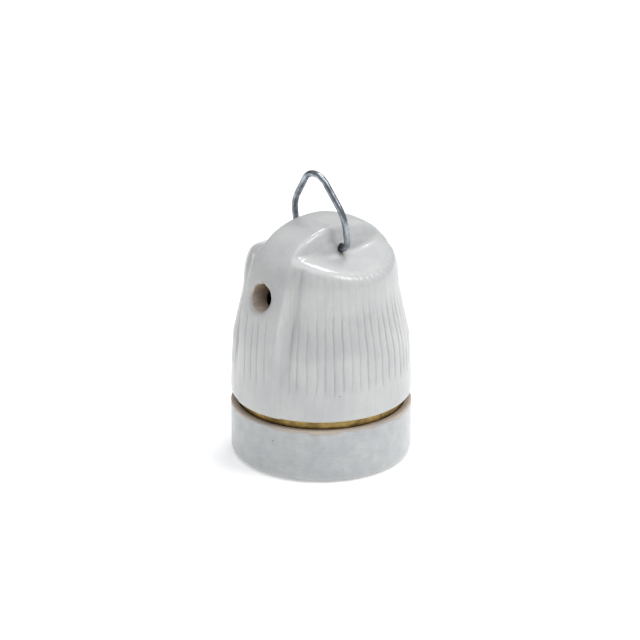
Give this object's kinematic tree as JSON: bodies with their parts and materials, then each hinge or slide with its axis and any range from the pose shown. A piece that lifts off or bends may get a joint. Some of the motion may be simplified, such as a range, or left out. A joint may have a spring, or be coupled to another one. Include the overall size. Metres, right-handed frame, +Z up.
{
  "type": "heat lamp fixture",
  "caption": "White porcelain pendant lampholder for a screw-in heat lamp, with a skirt ring that unscrews and a swinging wire bail.",
  "frame": {"origin": "centre of the open lower rim of the skirt ring, on the lamp axis", "axes": "+Z up along the lamp axis, X along the spine of the hood with the cable entry on -X, Y along the bail's pivot line"},
  "size_m": [0.0624, 0.062, 0.1011],
  "materials": {
    "porcelain_glazed": "glossy white glaze with faint grey mottling",
    "porcelain_plain": "unglazed biscuit",
    "brass_sheet": "rolled sheet, dulled",
    "brass_shell": "bright drawn sheet",
    "zinc_wire": "galvanised drawn wire",
    "bronze_spring": "phosphor bronze strip",
    "brass_turned": "turned and stamped",
    "steel_plated": "zinc plated"
  },
  "bodies": {
    "hood": {"hood": "porcelain_glazed", "hood_thread": "brass_sheet"},
    "bail": {"bail": "zinc_wire"},
    "insert": {"insert": "porcelain_plain", "screw_shell": "brass_shell", "contact_pad": "bronze_spring", "contact_rivet": "brass_turned", "shell_rivets": "brass_turned", "line_terminal": "brass_turned", "shell_terminal": "brass_turned"},
    "skirt": {"skirt_ring": "porcelain_glazed", "collar": "brass_sheet"},
    "contact_tongue": {"contact_tongue": "bronze_spring"},
    "line_saddle": {"line_saddle": "steel_plated"},
    "shell_saddle": {"shell_saddle": "steel_plated"},
    "line_screw": {"line_screw": "steel_plated"},
    "shell_screw": {"shell_screw": "steel_plated"}
  },
  "joints": [
    {"name": "bail_swing", "type": "hinge", "parent": "hood", "child": "bail", "pos_m": [0, 0, 0.0755], "axis": [0, 1, 0], "range_deg": [-50, 70]},
    {"name": "insert_drop", "type": "slide", "parent": "hood", "child": "insert", "axis": [0, 0, -1], "range_m": [0, 0.0075]},
    {"name": "skirt_turn", "type": "hinge", "parent": "insert", "child": "skirt", "pos_m": [0, 0, 0.01], "axis": [0, 0, -1], "range_deg": [0, 1080]},
    {"name": "contact_flex", "type": "hinge", "parent": "insert", "child": "contact_tongue", "pos_m": [0.00245, 0, 0.0339], "axis": [0, 1, 0], "range_deg": [0, 8], "stiffness_Nm_per_rad": 0.005},
    {"name": "line_clamp", "type": "slide", "parent": "insert", "child": "line_saddle", "axis": [0, 0, 1], "range_m": [0, 0.0018]},
    {"name": "line_screw_turn", "type": "hinge", "parent": "line_saddle", "child": "line_screw", "pos_m": [0.01305, 0, 0.0466], "axis": [0, 0, 1], "range_deg": [0, 1080]},
    {"name": "shell_clamp", "type": "slide", "parent": "insert", "child": "shell_saddle", "axis": [0, 0, 1], "range_m": [0, 0.0018]},
    {"name": "shell_screw_turn", "type": "hinge", "parent": "shell_saddle", "child": "shell_screw", "pos_m": [0, -0.0189, 0.0466], "axis": [0, 0, 1], "range_deg": [0, 1080]}
  ],
  "couplings": [
    {"joint": "insert_drop", "follows": "skirt_turn", "m_per_rad": 0.00039789},
    {"joint": "line_screw_turn", "follows": "line_clamp", "rad_per_m": 10472},
    {"joint": "shell_screw_turn", "follows": "shell_clamp", "rad_per_m": 10472}
  ]
}
